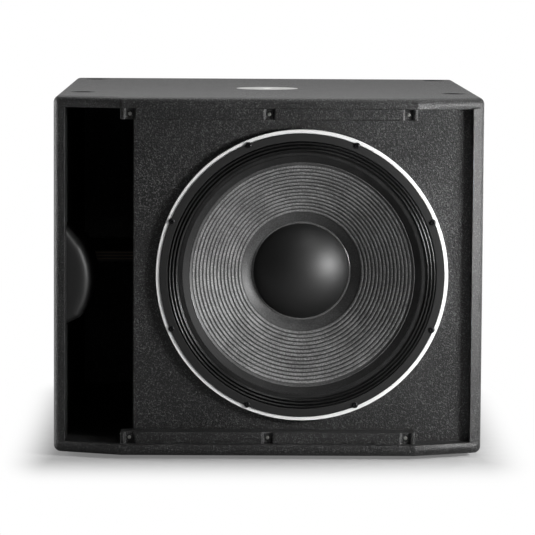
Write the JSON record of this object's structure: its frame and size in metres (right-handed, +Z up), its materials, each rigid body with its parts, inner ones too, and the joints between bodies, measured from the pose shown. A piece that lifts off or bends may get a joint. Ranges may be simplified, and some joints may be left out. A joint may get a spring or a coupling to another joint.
{
  "type": "powered subwoofer cabinet",
  "caption": "Powered subwoofer cabinet with a large ribbed cone driver beside a full-height port, side bar handles, a pole socket on top and a recessed amplifier at the back.",
  "frame": {"origin": "on the floor, under the middle of the cabinet's bounding box", "axes": "+Z up, the driver and the port face -Y, the amplifier faces +Y, +X is to the right as seen from the front"},
  "size_m": [0.675, 0.74, 0.569],
  "materials": {
    "painted_plywood": "textured satin paint",
    "cast_frame": "machined",
    "surround_cloth": "doped cloth",
    "gasket_foam": "matte",
    "black_screw": "black oxide",
    "paper_cone": "coated paper pulp",
    "coil": "enamelled winding",
    "plated_steel": "zinc plated",
    "ferrite": "sintered",
    "black_moulding": "fine texture",
    "handle_moulding": "fine texture",
    "grip_rubber": "satin",
    "foot_rubber": "matte",
    "bright_steel": "satin",
    "black_sheet": "powder coat",
    "black_anodised": "anodised",
    "circuit_board": "solder mask",
    "connector_moulding": "fine texture",
    "latch_metal": "nickel",
    "knob_moulding": "soft touch",
    "button_moulding": "gloss",
    "lamp_lens": "clear tint"
  },
  "bodies": {
    "cabinet": {"top_panel": "painted_plywood", "bottom_panel": "painted_plywood", "left_side_panel": "painted_plywood", "right_side_panel": "painted_plywood", "rear_panel": "painted_plywood", "front_baffle": "painted_plywood", "port_wall": "painted_plywood", "port_brace": "painted_plywood", "window_brace": "painted_plywood", "top_grille_batten": "painted_plywood", "bottom_grille_batten": "painted_plywood", "driver_frame": "cast_frame", "surround": "surround_cloth", "front_gasket": "gasket_foam", "driver_screws": "black_screw", "spider": "surround_cloth", "top_plate": "plated_steel", "magnet_ring": "ferrite", "back_plate": "plated_steel", "driver_terminals": "black_moulding", "left_handle_cup": "handle_moulding", "right_handle_cup": "handle_moulding", "left_handle_bar": "grip_rubber", "right_handle_bar": "grip_rubber", "left_front_foot": "foot_rubber", "left_rear_foot": "foot_rubber", "right_front_foot": "foot_rubber", "right_rear_foot": "foot_rubber", "pole_socket": "bright_steel", "amp_tray": "black_sheet", "heatsink": "black_anodised", "amp_cover": "plated_steel", "amp_board": "circuit_board", "first_input_jack": "connector_moulding", "second_input_jack": "connector_moulding", "first_link_jack": "connector_moulding", "second_link_jack": "connector_moulding", "level_pot": "plated_steel", "polarity_switch": "black_moulding", "status_leds": "lamp_lens", "power_switch": "black_moulding", "power_inlet": "black_moulding"},
    "cone_assembly": {"cone": "paper_cone", "dust_cap": "paper_cone", "voice_coil": "coil"},
    "knob": {"level_knob": "knob_moulding"},
    "rocker": {"power_rocker": "button_moulding"},
    "button": {"polarity_button": "button_moulding"},
    "first_latch": {"first_input_latch": "latch_metal"},
    "second_latch": {"second_input_latch": "latch_metal"}
  },
  "joints": [
    {"name": "cone_travel", "type": "slide", "parent": "cabinet", "child": "cone_assembly", "axis": [0, -1, 0], "range_m": [-0.012, 0.012], "stiffness_N_per_m": 8000, "deforming": ["surround", "spider"]},
    {"name": "level_knob_turn", "type": "hinge", "parent": "cabinet", "child": "knob", "pos_m": [0.045, 0.335, 0.2215], "axis": [0, 1, 0], "range_deg": [-150, 150]},
    {"name": "power_rocker_tip", "type": "hinge", "parent": "cabinet", "child": "rocker", "pos_m": [-0.047, 0.332, 0.2075], "axis": [1, 0, 0], "range_deg": [0, 16]},
    {"name": "polarity_button_press", "type": "slide", "parent": "cabinet", "child": "button", "axis": [0, -1, 0], "range_m": [0, 0.002], "stiffness_N_per_m": 300},
    {"name": "first_latch_press", "type": "slide", "parent": "cabinet", "child": "first_latch", "axis": [0, -1, 0], "range_m": [0, 0.0015], "stiffness_N_per_m": 400},
    {"name": "second_latch_press", "type": "slide", "parent": "cabinet", "child": "second_latch", "axis": [0, -1, 0], "range_m": [0, 0.0015], "stiffness_N_per_m": 400}
  ]
}
